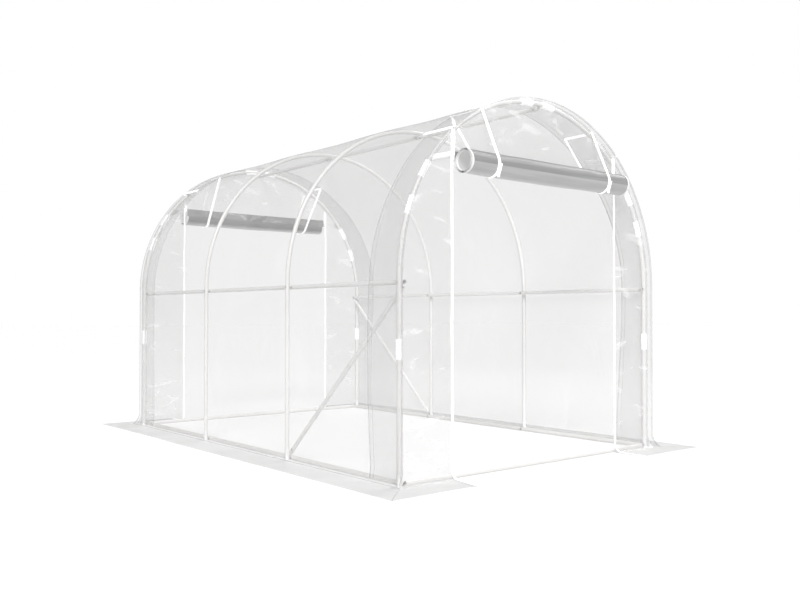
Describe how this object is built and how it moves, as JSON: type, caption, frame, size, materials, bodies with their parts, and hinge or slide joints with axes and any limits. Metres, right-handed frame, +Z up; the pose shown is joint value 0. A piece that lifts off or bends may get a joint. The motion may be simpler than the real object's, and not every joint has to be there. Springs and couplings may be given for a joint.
{
  "type": "polytunnel greenhouse",
  "caption": "Walk-in polytunnel greenhouse: arched white steel hoops and rails under a clear film cover with ground skirts, and a rolled-up zip door at each end.",
  "frame": {"origin": "on the ground under the middle of the tunnel", "axes": "+X across the tunnel, to the right for someone facing the front door; +Y from the front end to the rear end; +Z up"},
  "size_m": [2.4372, 3.4622, 2.0066],
  "materials": {
    "tube_steel": "satin",
    "foot_plastic": "matte",
    "clip_plastic": "satin",
    "clear_film": "glossy",
    "roll_film": "glossy",
    "zip_tape": "matte",
    "strap_webbing": "matte"
  },
  "bodies": {
    "root": {"front_left_leg": "tube_steel", "front_right_leg": "tube_steel", "front_arch": "tube_steel", "second_left_leg": "tube_steel", "second_right_leg": "tube_steel", "second_arch": "tube_steel", "third_left_leg": "tube_steel", "third_right_leg": "tube_steel", "third_arch": "tube_steel", "rear_left_leg": "tube_steel", "rear_right_leg": "tube_steel", "rear_arch": "tube_steel", "ridge_rail": "tube_steel", "left_waist_rail": "tube_steel", "right_waist_rail": "tube_steel", "left_base_rail": "tube_steel", "right_base_rail": "tube_steel", "front_sill_rail": "tube_steel", "rear_sill_rail": "tube_steel", "left_brace": "tube_steel", "right_brace": "tube_steel", "left_wall_film": "clear_film", "right_wall_film": "clear_film", "roof_film_left_lower": "clear_film", "roof_film_left_upper": "clear_film", "roof_film_right_upper": "clear_film", "roof_film_right_lower": "clear_film", "front_left_panel": "clear_film", "front_right_panel": "clear_film", "front_door_head": "clear_film", "rear_left_panel": "clear_film", "rear_right_panel": "clear_film", "rear_door_head": "clear_film", "side_skirts": "clear_film", "front_skirts": "clear_film", "rear_skirts": "clear_film", "leg_feet": "foot_plastic", "front_film_clips": "clip_plastic", "rear_film_clips": "clip_plastic", "front_zips": "zip_tape", "rear_zips": "zip_tape", "front_door_roll": "roll_film", "rear_door_roll": "roll_film", "front_straps": "strap_webbing", "rear_straps": "strap_webbing"}
  },
  "joints": []
}
